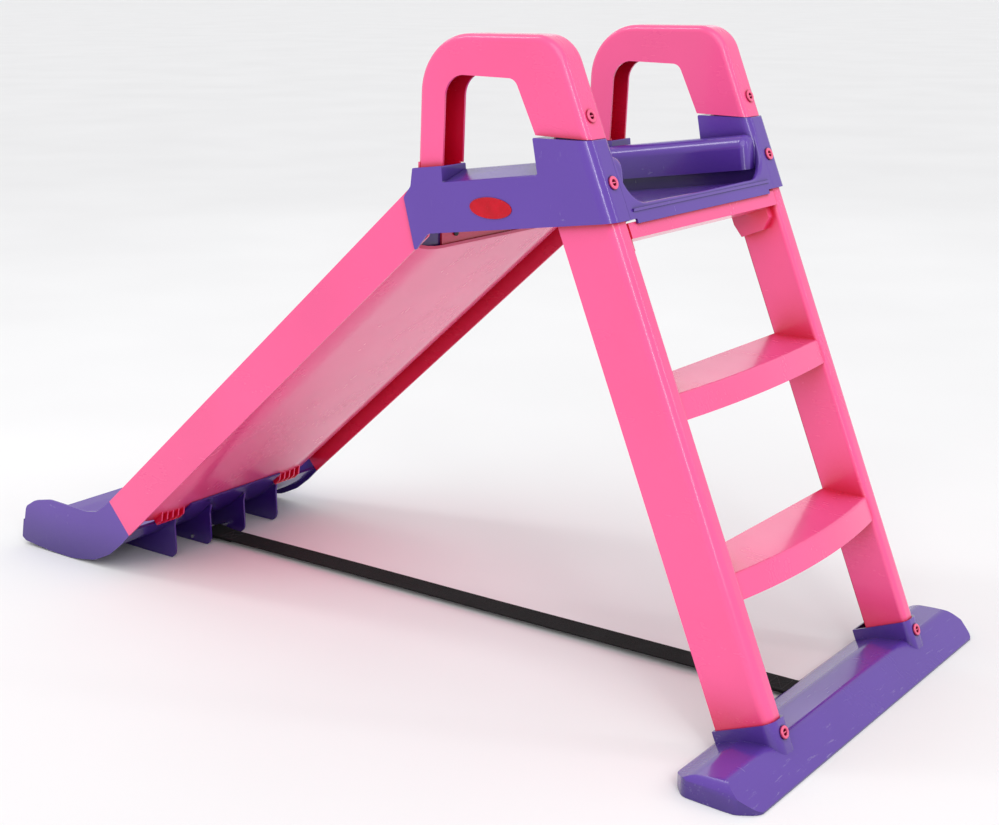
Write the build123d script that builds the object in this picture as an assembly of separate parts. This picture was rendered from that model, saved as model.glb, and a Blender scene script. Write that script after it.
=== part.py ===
from build123d import *
import math
import os

# Straight toddler slide: two-step ladder, platform with two grab handles,
# one sloping chute, a curved run-out, a foot bar and a webbing tie strap.
# Frame: +X is the way a child slides, +Y is the left side of a child sliding
# down, +Z is up. The origin is at the centre of the footprint, on the ground.
# All lengths are millimetres.

os.makedirs("parts", exist_ok=True)

# ---------------------------------------------------------------- dimensions
WALL = 3.2                 # moulded wall thickness
LEAN = 23.05               # ladder lean from the vertical, degrees
CHUTE_ANGLE = 42.14        # chute slope below the horizontal, degrees
DECK_ANGLE = 8.9           # fall of the platform towards the chute, degrees

LADDER_X, LADDER_Z = -696.4, 73.7   # foot pin centre line, on the ladder's rear face
U_FOOT_PIN = 0.0           # pin stations along the ladder from there
U_DECK_PIN = 701.0
U_HANDLE_PIN = 786.0
UP_REAR, UP_FRONT = -1.0, 79.0      # upright depth, square to the ladder
UP_INNER_FRONT = 62.0      # the inner wall of the channel is shorter
UP_OUT_Y, UP_IN_Y = 220.0, 188.0    # upright's outer and inner faces
UP_BOTTOM, UP_TOP = -10.0, 722.0
RAIL_U0, RAIL_U1 = 630.0, 650.0     # top cross rail
TREAD_Z = (258.0, 471.0)   # tread tops above the ground
TREAD_BOW = (15.0, 9.0)    # how far each nose bows towards the climber
TREAD_OFF0, TREAD_OFF1 = 2.0, 62.0
TREAD_APRON = 31.0

CHUTE_X, CHUTE_Z = 457.0, 71.5      # lower end of the chute wall's bottom edge
CHUTE_HALF = 223.6         # half width over the chute walls
CHUTE_WALL_H = 65.5        # chute wall height, square to the slope
CHUTE_BED = 9.0            # underside of the bed above the wall's bottom edge
CHUTE_BED_HALF = 128.0     # flat half width of the bed
CHUTE_BED_SIDE = 40.0      # height at which the bed meets the walls
CHUTE_BED_U = 766.0        # length of the bed along the slope
CHUTE_WALL_U = 835.0       # length of the walls along the slope

PLAT_OUT_Y = 227.5         # platform's outer faces
RAIL_IN_Y = 176.0          # inner face of the side rails
SHELF_IN_Y = 154.0         # inner face of the lower side shelves
PLAT_REAR = -4.6           # rear face, measured off the ladder's pin line
DECK_T = 3.6

HANDLE_OUT_Y, HANDLE_IN_Y = 220.0, 175.0
HANDLE_REAR = -2.4

FOOT_HALF = 343.0          # half length of the foot bar
FOOT_REAR, FOOT_FRONT = -739.0, -606.0     # on the ground line
LEVEL_X, LEVEL_ANGLE = 540.0, 1.345        # the ground line meets the drawing's base line
                                           # here, at this angle in degrees
SHIFT_X = 4.1              # moves the origin to the middle of the footprint
FOOT_WALL = 4.0

PIN_HEAD_R, PIN_HEAD_T = 8.5, 3.0
PIN_SHANK_R = 5.0
PIN_CLEAR = 0.06           # radial running clearance of the lock pins
PIN_LUG_L, PIN_LUG_W, PIN_LUG_T = 13.0, 4.0, 4.0

STRAP_W, STRAP_T = 44.0, 2.0
STRAP_PIN_R = 3.0
STRAP_A = (505.0, 9.0)     # strap pin in the run-out (x, z)
STRAP_B = (-647.5, 37.4)   # strap pin in the foot bar (x, z)

# ------------------------------------------------------------------- helpers
SL, CL = math.sin(math.radians(LEAN)), math.cos(math.radians(LEAN))
SC, CC = math.sin(math.radians(CHUTE_ANGLE)), math.cos(math.radians(CHUTE_ANGLE))


def lad(u, off):
    """Ladder frame: u up along the ladder, off square to it towards the slide."""
    return (LADDER_X + u * SL + off * CL, LADDER_Z + u * CL - off * SL)


def chu(u, h):
    """Chute frame: u up the slope from the lower end, h square to the bed."""
    return (CHUTE_X - u * CC + h * SC, CHUTE_Z + u * SC + h * CC)


def on_line(z, off):
    """x of the plane parallel to the ladder at height z."""
    return LADDER_X + (off + (z - LADDER_Z) * SL) / CL


def deck_z(x):
    """Top of the platform's deck."""
    return 688.0 - math.tan(math.radians(DECK_ANGLE)) * (x + 440.0)


def outline(points):
    """Corner points (a, b) or (a, b, radius) to a list of edges in the XY plane."""
    pts = [(p[0], p[1], p[2] if len(p) > 2 else 0.0) for p in points]
    n = len(pts)
    arcs = []
    for i in range(n):
        a, b, r = pts[i]
        if r <= 0:
            arcs.append(((a, b), None, (a, b)))
            continue
        pa, pb = pts[i - 1], pts[(i + 1) % n]
        v1 = (pa[0] - a, pa[1] - b)
        v2 = (pb[0] - a, pb[1] - b)
        l1, l2 = math.hypot(*v1), math.hypot(*v2)
        v1 = (v1[0] / l1, v1[1] / l1)
        v2 = (v2[0] / l2, v2[1] / l2)
        half = math.acos(max(-1, min(1, v1[0] * v2[0] + v1[1] * v2[1]))) / 2
        t = r / math.tan(half)
        bis = (v1[0] + v2[0], v1[1] + v2[1])
        lb = math.hypot(*bis)
        c = r / math.sin(half)
        m = (a + bis[0] / lb * (c - r), b + bis[1] / lb * (c - r))
        arcs.append(((a + v1[0] * t, b + v1[1] * t), m, (a + v2[0] * t, b + v2[1] * t)))
    edges = []
    for i in range(n):
        s, m, e = arcs[i]
        if m is not None:
            edges.append(Edge.make_three_point_arc(Vector(*s), Vector(*m), Vector(*e)))
        nx = arcs[(i + 1) % n][0]
        if math.hypot(nx[0] - e[0], nx[1] - e[1]) > 1e-4:
            edges.append(Edge.make_line(Vector(*e), Vector(*nx)))
    return edges


def prism(points, plane, depth):
    """Extrude an outline drawn in a plane by depth along the plane's normal."""
    face = Face(Wire(outline(points)))
    solid = Solid.extrude(face, Vector(0, 0, depth))
    if solid.volume < 0:
        solid = Solid.extrude(Face(Wire(outline(points[::-1]))), Vector(0, 0, depth))
    return plane.from_local_coords(solid)


def side(points, y0, y1):
    """Outline in X-Z, filled from y0 to y1."""
    return prism(points, Plane(origin=(0, y1, 0), x_dir=(1, 0, 0), z_dir=(0, -1, 0)), y1 - y0)


def plan(points, z0, z1):
    """Outline in X-Y, filled from z0 to z1."""
    return prism(points, Plane(origin=(0, 0, z0)), z1 - z0)


def across(points, x0, x1):
    """Outline in Y-Z, filled from x0 to x1."""
    return prism(points, Plane(origin=(x0, 0, 0), x_dir=(0, 1, 0), z_dir=(1, 0, 0)), x1 - x0)


def inset(points, gaps):
    """Move each side of an outline inwards by its gap; gaps may be one number."""
    pts = [(p[0], p[1], p[2] if len(p) > 2 else 0.0) for p in points]
    n = len(pts)
    area = sum(pts[i][0] * pts[(i + 1) % n][1] - pts[(i + 1) % n][0] * pts[i][1] for i in range(n))
    sg = 1.0 if area > 0 else -1.0
    g = [gaps] * n if isinstance(gaps, (int, float)) else list(gaps)
    lines = []
    for i in range(n):
        a, b = pts[i], pts[(i + 1) % n]
        dx, dy = b[0] - a[0], b[1] - a[1]
        ll = math.hypot(dx, dy)
        nx, ny = -dy / ll * sg, dx / ll * sg
        lines.append((a[0] + nx * g[i], a[1] + ny * g[i], dx / ll, dy / ll))
    out = []
    for i in range(n):
        p, q = lines[i - 1], lines[i]
        det = p[2] * q[3] - p[3] * q[2]
        if abs(det) < 1e-6:
            out.append((q[0], q[1], 0.0))
            continue
        t = ((q[0] - p[0]) * q[3] - (q[1] - p[1]) * q[2]) / det
        r = pts[i][2]
        convex = det * sg > 0
        d = min(g[i - 1], g[i])
        r2 = 0.0 if r <= 0 else max(0.0, r - d if convex else r + d)
        out.append((p[0] + p[2] * t, p[1] + p[3] * t, r2))
    return out


def mirror_y(shape):
    return shape.mirror(Plane.XZ)


def both(shape):
    return shape + mirror_y(shape)


def ladder_plane(u, y, off):
    """Plane square to the ladder's rear face: local x along +Y, local y up the ladder."""
    x, z = lad(u, off)
    return Plane(origin=(x, y, z), x_dir=(0, 1, 0), z_dir=(CL, 0, -SL))


def keyhole(u, y, off0, off1):
    """Round hole with a slot along the ladder, for a pin and its cross lug."""
    pl = ladder_plane(u, y, off0)
    d = off1 - off0
    hole = Solid.make_cylinder(PIN_SHANK_R + PIN_CLEAR, d)
    w, l = PIN_LUG_W / 2 + 0.3, PIN_LUG_L / 2 + 0.5
    slot = Solid.make_box(2 * w, 2 * l, d).moved(Location((-w, -l, 0)))
    return pl.from_local_coords(hole.fuse(slot))


def turned(shape, angle):
    """Shape turned in the X-Z plane about the point where the ground line starts."""
    return shape.rotate(Axis((LEVEL_X, 0, 0), (0, 1, 0)), -angle)


def write(shape, name):
    """Turn a part from the drawing's base line to the level ground, then export it."""
    shape = turned(shape, LEVEL_ANGLE).moved(Location((SHIFT_X, 0, 0)))
    shape.label = name
    export_step(shape, "parts/" + name + ".step")


def one(shape):
    """The single solid of a result."""
    s = shape.solids()
    return s[0] if len(s) == 1 else Compound(children=list(s))


# -------------------------------------------------------------- ladder frame
def upright_section(y_out, y_in):
    """Channel section, open towards the slide, in (off, y)."""
    outer = [(UP_REAR, y_in, 8), (UP_REAR, y_out, 14), (UP_FRONT, y_out), (UP_FRONT, y_in)]
    inner = [(UP_REAR + WALL, y_in + WALL, 5), (UP_REAR + WALL, y_out - WALL, 11),
             (UP_FRONT + 5, y_out - WALL), (UP_FRONT + 5, y_in + WALL)]
    short = [(UP_INNER_FRONT, y_in - 5), (UP_INNER_FRONT, y_out - WALL),
             (UP_FRONT + 5, y_out - WALL), (UP_FRONT + 5, y_in - 5)]
    return outer, inner, short


def along_ladder(points, u0, u1):
    """Outline in (off, y), filled from u0 to u1 along the ladder."""
    x, z = lad(u0, 0)
    pl = Plane(origin=(x, 0, z), x_dir=(CL, 0, -SL), z_dir=(SL, 0, CL))
    return prism(points, pl, u1 - u0)


outer, inner, short = upright_section(UP_OUT_Y, UP_IN_Y)
up = along_ladder(outer, UP_BOTTOM, UP_TOP) - along_ladder(inner, UP_BOTTOM - 1, UP_TOP + 1)
up = up - along_ladder(short, UP_BOTTOM - 1, UP_TOP + 1)
# bosses that the lock pins' lugs bear on
for u, y in ((U_FOOT_PIN, 202.0), (U_DECK_PIN, 201.0)):
    boss = ladder_plane(u, y, UP_REAR + WALL - 0.5).from_local_coords(Solid.make_cylinder(9.0, 3.5))
    up = up + boss
    up = up - keyhole(u, y, UP_REAR - 1, UP_REAR + WALL + 4)
# lug on the inner face near the top
lug = [lad(602, 60), lad(602, 24), lad(616, 10), lad(648, 10), lad(648, 66), lad(622, 66)]
up = up + side(lug, UP_IN_Y - 13, UP_IN_Y + 1)
ladder = both(up)

for zt, bow in zip(TREAD_Z, TREAD_BOW):
    # the tread is a plate with a bowed apron, both leaning with the ladder
    xn = on_line(zt, TREAD_OFF0)
    xs = on_line(zt, TREAD_OFF1)
    y = UP_IN_Y + 1.5

    def tread_outline(g, hy):
        e = [Edge.make_three_point_arc(Vector(xn + g, hy, 0), Vector(xn - bow + g, 0, 0), Vector(xn + g, -hy, 0)),
             Edge.make_line(Vector(xn + g, -hy, 0), Vector(xs - g, -hy, 0)),
             Edge.make_line(Vector(xs - g, -hy, 0), Vector(xs - g, hy, 0)),
             Edge.make_line(Vector(xs - g, hy, 0), Vector(xn + g, hy, 0))]
        return Face(Wire(e))

    down = TREAD_APRON
    sweep = Vector(-down * SL / CL, 0, -down)
    body = Solid.extrude(tread_outline(0, y).moved(Location((0, 0, zt))), sweep)
    nose = [e for e in body.edges() if abs(e.center().Z - zt) < 0.01 and abs((e @ 0.5).X - (xn - bow)) < 0.5]
    body = body.fillet(5.0, nose)
    k = WALL * SL / CL
    core = Solid.extrude(tread_outline(WALL, y - WALL - 1.5).moved(Location((-k, 0, zt - WALL))),
                         Vector(-down * SL / CL, 0, -down))
    tread = body - core
    # two stiffening ribs under the plate
    for yr in (-70.0, 70.0):
        rib = side([(xn + 1, zt - 1), (xs - 1, zt - 1), (xs - 9, zt - 20), (xn - 8, zt - 20)], yr - 1.4, yr + 1.4)
        tread = tread + rib
    ladder = ladder + tread

rail = side([lad(RAIL_U0, UP_REAR), lad(RAIL_U1, UP_REAR), lad(RAIL_U1, UP_REAR + WALL),
             lad(RAIL_U0 + WALL, UP_REAR + WALL), lad(RAIL_U0 + WALL, 40), lad(RAIL_U0, 40)],
            -UP_IN_Y - 1.5, UP_IN_Y + 1.5)
ladder = ladder + rail
write(one(ladder), "ladder_frame")

# ------------------------------------------------------------------ foot bar
def foot_block(g, drop):
    """Domed bar on the ground line; g is the inset of every side."""
    sec = [(FOOT_FRONT, -drop), (FOOT_FRONT, 4, 2), (-619, 15, 14), (-652, 30, 40), (-694, 34.5, 16),
           (FOOT_REAR, 2.5, 1), (FOOT_REAR, -drop)]
    sec = inset(sec, [g] * (len(sec) - 1) + [0])
    a = side(sec, -FOOT_HALF - 5, FOOT_HALF + 5)
    pl = [(FOOT_FRONT + 1, 0), (FOOT_FRONT - 5, 210, 200), (-619, 316, 30), (-640, FOOT_HALF - 3, 20),
          (-712, FOOT_HALF + 1, 26), (FOOT_REAR - 1, 326, 22),
          (FOOT_REAR - 1, -326, 22), (-712, -FOOT_HALF - 1, 26),
          (-640, -FOOT_HALF + 3, 20), (-619, -316, 30), (FOOT_FRONT - 5, -210, 200)]
    b = plan(inset(pl, g), -drop - 1, 80)
    el = [(-FOOT_HALF, -drop), (FOOT_HALF, -drop), (FOOT_HALF, 10), (FOOT_HALF - 3, 35.5, 24),
          (0, 37, 900), (-FOOT_HALF + 3, 35.5, 24), (-FOOT_HALF, 10)]
    c = across(inset(el, [0] + [g] * (len(el) - 1)), FOOT_REAR - 5, FOOT_FRONT + 8)
    return turned((a & b) & c, -LEVEL_ANGLE)


foot = foot_block(0, 0) - foot_block(FOOT_WALL, 12)
# collars that the uprights stand in, square to the ladder
CG = 0.35
col_out = [(PLAT_REAR, UP_IN_Y - CG - WALL, 10), (PLAT_REAR, UP_OUT_Y + CG + WALL, 17),
           (UP_FRONT + CG + WALL, UP_OUT_Y + CG + WALL), (UP_FRONT + CG + WALL, UP_IN_Y - CG - WALL)]
col_in = [(UP_REAR - CG, UP_IN_Y - CG, 8.2), (UP_REAR - CG, UP_OUT_Y + CG, 14.2),
          (UP_FRONT + CG, UP_OUT_Y + CG), (UP_FRONT + CG, UP_IN_Y - CG)]
collar = along_ladder(col_out, -60, 17.5)
keep = side([(-560, 33), (-560, 140), (-734, 140), (-734, 35), (-716, 35)], 150, 260)
collar = collar & keep
pocket = along_ladder(col_in, UP_BOTTOM - CG, 30)
near = collar + (foot & plan([(-780, 0), (-560, 0), (-560, 400), (-780, 400)], -5, 90))
near = near - pocket
near = near - keyhole(U_FOOT_PIN, 202.0, PLAT_REAR - 8, UP_REAR)
# recess for the pin head
near = near - ladder_plane(U_FOOT_PIN, 202.0, PLAT_REAR - 14).from_local_coords(Solid.make_cylinder(9.3, 14.4))
# the collar's foot stands inside the bar only down to the hollow's clear line
foot = near + mirror_y(near)
# notch for the strap and the two lugs that hold its pin
notch = Solid.make_box(36, STRAP_W + 6, 20).moved(Location((-641, -STRAP_W / 2 - 3, -7)))
foot = foot - turned(notch, -LEVEL_ANGLE)
for s in (-1, 1):
    yc = s * (STRAP_W / 2 + 5.5)
    rib = side([(-664, 30), (-664, 3, 5), (-634, 3, 5), (-634, 20)], yc - 2, yc + 2)
    foot = foot + turned(rib, -LEVEL_ANGLE)
hole = Solid.make_cylinder(STRAP_PIN_R + 0.02, 2 * (STRAP_W / 2 + 9),
                           Plane(origin=(STRAP_B[0], -(STRAP_W / 2 + 9), STRAP_B[1]), z_dir=(0, 1, 0)))
foot = foot - hole
write(one(foot), "foot_bar")

# ------------------------------------------------------------------ platform
def rear_x(z):
    return on_line(z, PLAT_REAR)


Z_SKIRT_REAR = 676.0
POST_TOP = 771.0
profile = [
    (rear_x(Z_SKIRT_REAR), Z_SKIRT_REAR),
    (-205, 639, 60), (-160, 632, 14), (-138.5, 606.5, 2), (-119.5, 676, 6), (-131, 691, 8), (-134, 715, 2),
    (-182, 722, 2), (-184, 701, 2), (-333, 723.5, 3), (-324, 769, 2), (rear_x(POST_TOP), POST_TOP, 3),
]
# outer skirt
skirt = side(profile, PLAT_OUT_Y - WALL, PLAT_OUT_Y)
# side rail box: the same outline behind the lobe, open underneath
box_prof = [
    (rear_x(Z_SKIRT_REAR), Z_SKIRT_REAR), (-134, 628), (-134, 715, 2), (-182, 722, 2), (-184, 701, 2),
    (-333, 723.5, 3), (-324, 769, 2), (rear_x(POST_TOP), POST_TOP, 3),
]
gaps = [-20] + [WALL] * 7
rail_box = side(box_prof, RAIL_IN_Y, PLAT_OUT_Y)
cavity = side(inset(box_prof, gaps), RAIL_IN_Y + WALL, PLAT_OUT_Y - WALL)
# the rear outer corner is rounded along the ladder's lean
CORNER_R = 17.0
outer_round = along_ladder([(PLAT_REAR, RAIL_IN_Y, 13), (PLAT_REAR, PLAT_OUT_Y, CORNER_R), (420, PLAT_OUT_Y), (420, RAIL_IN_Y)], 350, 900)
inner_round = along_ladder([(PLAT_REAR + WALL, RAIL_IN_Y + WALL, 13 - WALL), (PLAT_REAR + WALL, PLAT_OUT_Y - WALL, CORNER_R - WALL),
                            (430, PLAT_OUT_Y - WALL), (430, RAIL_IN_Y + WALL)], 340, 910)
half = ((skirt + rail_box) & outer_round) - (cavity & inner_round)
# notch over the ladder's cross rail
half = half - Solid.make_box(24, 12, 40).moved(Location((rear_x(676) + WALL, 170, 639)))
# slot in the front end wall for the chute's side wall
half = half - Solid.make_box(60, 4.9, 88).moved(Location((-176, CHUTE_HALF - WALL - 1.0, 612)))
# rounded arm ledge: it falls outwards over the rail and rolls down on the inner side
LEDGE_X, LEDGE_Z = -184.0, 714.0
LEDGE_FALL = 13.0
SD, CD = math.sin(math.radians(DECK_ANGLE)), math.cos(math.radians(DECK_ANGLE))


def ledge(points, x0, x1):
    """Outline in (y, height) filled along the ledge from x0 back to x1."""
    z0 = LEDGE_Z - (x0 - LEDGE_X) * SD / CD
    pl = Plane(origin=(x0, 0, z0), x_dir=(0, 1, 0), z_dir=(-CD, 0, SD))
    return prism([(q[0], -q[1]) + tuple(q[2:]) for q in points][::-1], pl, (x0 - x1) / CD)


over = [(RAIL_IN_Y, -30), (RAIL_IN_Y, 0), (180, 0, 6), (PLAT_OUT_Y, -LEDGE_FALL, 3), (PLAT_OUT_Y, -30)]
under_l = [(RAIL_IN_Y + WALL, -40), (RAIL_IN_Y + WALL, -WALL), (180, -WALL, 3), (PLAT_OUT_Y - WALL, -LEDGE_FALL - WALL, 1),
           (PLAT_OUT_Y - WALL, -40)]
half = half + ledge(over, -183.5, -331.5)
half = half - ledge(under_l, -187, -327)
roll = [(SHELF_IN_Y, -48), (SHELF_IN_Y, 0, 19), (RAIL_IN_Y + 1, 0), (RAIL_IN_Y + 1, -48)]
roll_in = [(SHELF_IN_Y + WALL, -60), (SHELF_IN_Y + WALL, -WALL, 16), (RAIL_IN_Y - 0.5, -WALL), (RAIL_IN_Y - 0.5, -60)]
shelf = ledge(roll, -138, -412)
ends = [e for e in shelf.edges() if (e @ 0.5).X < -411 and abs((e @ 0).X - (e @ 1).X) < 12
        and (e @ 0.5).Y < RAIL_IN_Y and (e @ 0.5).Z > 715 and (e @ 0.5).X < -405]
shelf = shelf.fillet(12.0, ends)
shelf = shelf - ledge(roll_in, -141.2, -398)
half = half + (shelf - side([(-500, 500), (-100, 500), (-100, 636), (-500, 699)], 100, 300))
# tongue inside the handle's rear leg, and the collar of the front leg
tongue_u0 = (POST_TOP - LADDER_Z) / CL - 14
tongue = along_ladder([(HANDLE_REAR + WALL + 0.4, 180.5, 7.5), (HANDLE_REAR + WALL + 0.4, 214.5, 7.5),
                       (48, 214.5, 4), (48, 180.5)], tongue_u0 - 4, U_HANDLE_PIN + 22)
tongue = tongue - along_ladder([(HANDLE_REAR + 2 * WALL + 0.4, 183.5, 4), (HANDLE_REAR + 2 * WALL + 0.4, 211.5, 4),
                                (45, 211.5), (45, 183.5)], tongue_u0 - 30, U_HANDLE_PIN + 19)
clear_above = side([(-500, 600), (-300, 600), (-300, 690), (-500, 690)], 100, 300)
half = half + (tongue - clear_above)
half = half + ladder_plane(U_HANDLE_PIN, 201.0, HANDLE_REAR + 2 * WALL).from_local_coords(Solid.make_cylinder(9.0, 3.4))
# hole in the front post for the handle's front leg
leg_gap = 0.4
front_leg_hole = side([(-134.5 - WALL, 700), (-134.5 - WALL, 740), (-178.9, 740), (-178.9, 700)],
                      HANDLE_IN_Y + 4.5, HANDLE_OUT_Y + leg_gap)
half = half - front_leg_hole
# pin holes
half = half - keyhole(U_DECK_PIN, 201.0, PLAT_REAR - 2, UP_REAR)
half = half - keyhole(U_HANDLE_PIN, 201.0, HANDLE_REAR + WALL, HANDLE_REAR + 2 * WALL + 6)
# recess of the deck pin's head in the rear corner
half = half - ladder_plane(U_DECK_PIN, 201.0, PLAT_REAR - 14).from_local_coords(Solid.make_cylinder(9.3, 14.4))
platform = both(half)

# deck, rear lip wall and front wall
deck = side([(-443, deck_z(-443)), (-443, deck_z(-443) - DECK_T), (-100, deck_z(-100) - DECK_T), (-100, deck_z(-100))],
            -RAIL_IN_Y - 0.5, RAIL_IN_Y + 0.5)
front_deck = side([(-136, deck_z(-136)), (-136, deck_z(-136) - DECK_T), (-100, deck_z(-100) - DECK_T),
                   (-100, deck_z(-100))], -CHUTE_HALF + WALL + 1, CHUTE_HALF - WALL - 1)
# the front wall's lower edge follows the chute's dished bed
low = []
for i in range(10):
    t = math.pi / 2 * i / 9
    rise = (CHUTE_BED_SIDE + 8 - CHUTE_BED - WALL) * (1 - math.cos(t)) / CC
    low.append((CHUTE_BED_HALF + (CHUTE_HALF - WALL - CHUTE_BED_HALF) * math.sin(t), 593.8 + rise))
low = [q for q in low if q[1] < 627] + [(219, 628)]
front_wall = across([(-y, z) for y, z in low[::-1]] + low + [(219, deck_z(-100)), (-219, deck_z(-100))], -100.5, -97.0)
# rear lip: a thick rolled rim whose opening sweeps up into the posts
LIP_T = 11.0
lip_plane = Plane(origin=(rear_x(690), 0, 690), x_dir=(0, 1, 0), z_dir=(CL, 0, -SL))
RL = (690 - Z_SKIRT_REAR) / CL
lip_out = [(-186.8, -RL), (186.8, -RL), (186.8, 86), (184.5, 86), (172, 3.5, 42), (0, 2.2), (-172, 3.5, 42), (-184.5, 86), (-186.8, 86)]
lip = prism(lip_out, lip_plane, LIP_T)
swept = [e for e in lip.edges() if abs((e @ 0.5).Y) < 187 and (e @ 0.5).Z > 690 - 8
         and abs((e @ 0).Y - (e @ 1).Y) > 5]
lip = lip.fillet(4.6, swept)
# skirt that laps over the ladder's cross rail
lip = lip + prism([(-172, -RL - 6), (172, -RL - 6), (172, -RL + 3), (-172, -RL + 3)], lip_plane, WALL)
# the rim is hollow from below
lip = lip - prism([(-174, -RL - 12), (174, -RL - 12), (174, -3), (-174, -3)], lip_plane, LIP_T + 1).moved(
    Location((WALL * CL, 0, -WALL * SL)))
# stiffening ribs under the deck
ribs = None
for yr in (-110.0, 0.0, 110.0):
    r = side([(-400, deck_z(-400) - 1), (-101, deck_z(-101) - 1), (-101, deck_z(-101) - 12), (-380, deck_z(-380) - 14)],
             yr - 1.5, yr + 1.5)
    ribs = r if ribs is None else ribs + r
platform = platform + deck + front_deck + front_wall + lip + ribs
# screw holes in the front wall
SCREW_Y = (-96.0, -32.0, 32.0, 96.0)
for ys in SCREW_Y:
    platform = platform - Solid.make_cylinder(2.0, 10, Plane(origin=(-104, ys, 611), z_dir=(1, 0, 0)))
write(one(platform), "platform")

# ------------------------------------------------------------------- handles
def handle_x(z):
    return on_line(z, HANDLE_REAR)


h_out = [(-134.9, 700), (-141, 887, 78), (handle_x(893), 893, 48), (handle_x(771.4), 771.4),
         (-323.5, 771.4), (-290.5, 838, 15), (-182, 838, 30), (-177.6, 700)]
HANDLE_RIM_R = 9.5         # rounding of the outer rim


def round_rim(solid, top_line, y0, y1, r):
    """Round the rim edges of the outer outline at both faces."""
    rim = []
    for e in solid.edges():
        c = e.center()
        if abs(c.Y - y0) > 0.01 and abs(c.Y - y1) > 0.01:
            continue
        bb = e.bounding_box()
        if bb.max.Y - bb.min.Y > 0.01:
            continue
        inside = [top_line(v.X, v.Z) for v in (e @ 0, e @ 0.5, e @ 1)]
        if all(inside):
            rim.append(e)
    return solid.fillet(r, rim)


def on_outer(gap):
    """Test for a point on the handle's outer outline, moved in by a gap."""
    def test(x, z):
        front = -134.9 - 6.1 * (z - 700) / 187
        rear = handle_x(z)
        return x > front - gap - 0.3 or x < rear + gap * 1.1 + 0.3 or z > 838 + 12
    return test


grip = side(h_out, HANDLE_IN_Y, HANDLE_OUT_Y)
core = side(inset(h_out, [WALL, WALL, WALL, -6, -30, -30, -30, -6]), HANDLE_IN_Y + WALL, HANDLE_OUT_Y - WALL)
grip = round_rim(grip, on_outer(0), HANDLE_IN_Y, HANDLE_OUT_Y, HANDLE_RIM_R)
core = round_rim(core, on_outer(WALL + 0.2), HANDLE_IN_Y + WALL, HANDLE_OUT_Y - WALL, HANDLE_RIM_R - WALL)
handle = grip - core
# the front leg narrows below the post so that it plugs in
handle = handle - side([(-120, 640), (-120, 722.4), (-200, 722.4), (-200, 640)], HANDLE_IN_Y - 1, HANDLE_IN_Y + 5)
handle = handle - side([(-120, 640), (-120, 722.4), (-134.5 - WALL - leg_gap, 722.4), (-134.5 - WALL - leg_gap, 640)],
                       HANDLE_IN_Y - 1, HANDLE_OUT_Y + 1)
plug = side([(-134.5 - WALL - leg_gap, 703), (-134.5 - WALL - leg_gap, 723), (-134.5 - 2 * WALL - leg_gap, 723),
             (-134.5 - 2 * WALL - leg_gap, 703)], HANDLE_IN_Y + 5, HANDLE_OUT_Y)
handle = handle + plug
inner_cheek = side([(-134.5 - WALL - leg_gap, 703), (-134.5 - WALL - leg_gap, 724), (-177.6, 724), (-177.6, 703)],
                   HANDLE_IN_Y + 5, HANDLE_IN_Y + 5 + WALL)
handle = handle + inner_cheek
# triangular stiffening ribs in the front top corner
for k in range(2):
    x0 = -150 - 14 * k
    rib = side([(x0, 872), (x0 - 3, 872), (x0 - 3, 846), (x0, 846)], HANDLE_IN_Y + 1, HANDLE_OUT_Y - 1)
    handle = handle + (rib & grip)
handle = handle - keyhole(U_HANDLE_PIN, 201.0, HANDLE_REAR - 2, HANDLE_REAR + WALL + 0.3)
write(one(handle), "handle_left")
write(one(mirror_y(handle)), "handle_right")

# --------------------------------------------------------------------- chute
def bed_curve(half, low, side_h, t, n=9):
    """Points of a dished bed across the chute: flat middle, elliptical sides."""
    pts = []
    w = half - CHUTE_BED_HALF
    for i in range(n + 1):
        a = math.pi / 2 * i / n
        pts.append((CHUTE_BED_HALF + w * math.sin(a), low + (side_h - low) * (1 - math.cos(a))))
    return pts


def chute_section():
    """Half section (y >= 0) of the dished bed with its side wall, as (y, h)."""
    yi = CHUTE_HALF - WALL
    under = bed_curve(yi, CHUTE_BED, CHUTE_BED_SIDE, WALL)
    upper = bed_curve(yi, CHUTE_BED + WALL, CHUTE_BED_SIDE + 8, WALL)
    return under, upper


def along_chute(points, u0, u1):
    """Outline in (y, h), filled from u0 to u1 up the slope."""
    x, z = chu(u0, 0)
    pl = Plane(origin=(x, 0, z), x_dir=(0, 1, 0), z_dir=(-CC, 0, SC))
    return prism(points, pl, u1 - u0)


under, upper = chute_section()
bed = [(y, h) for y, h in under] + [(y, h) for y, h in upper[::-1]]
bed = bed + [(-y, h) for y, h in upper] + [(-y, h) for y, h in under[::-1]]
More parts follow.
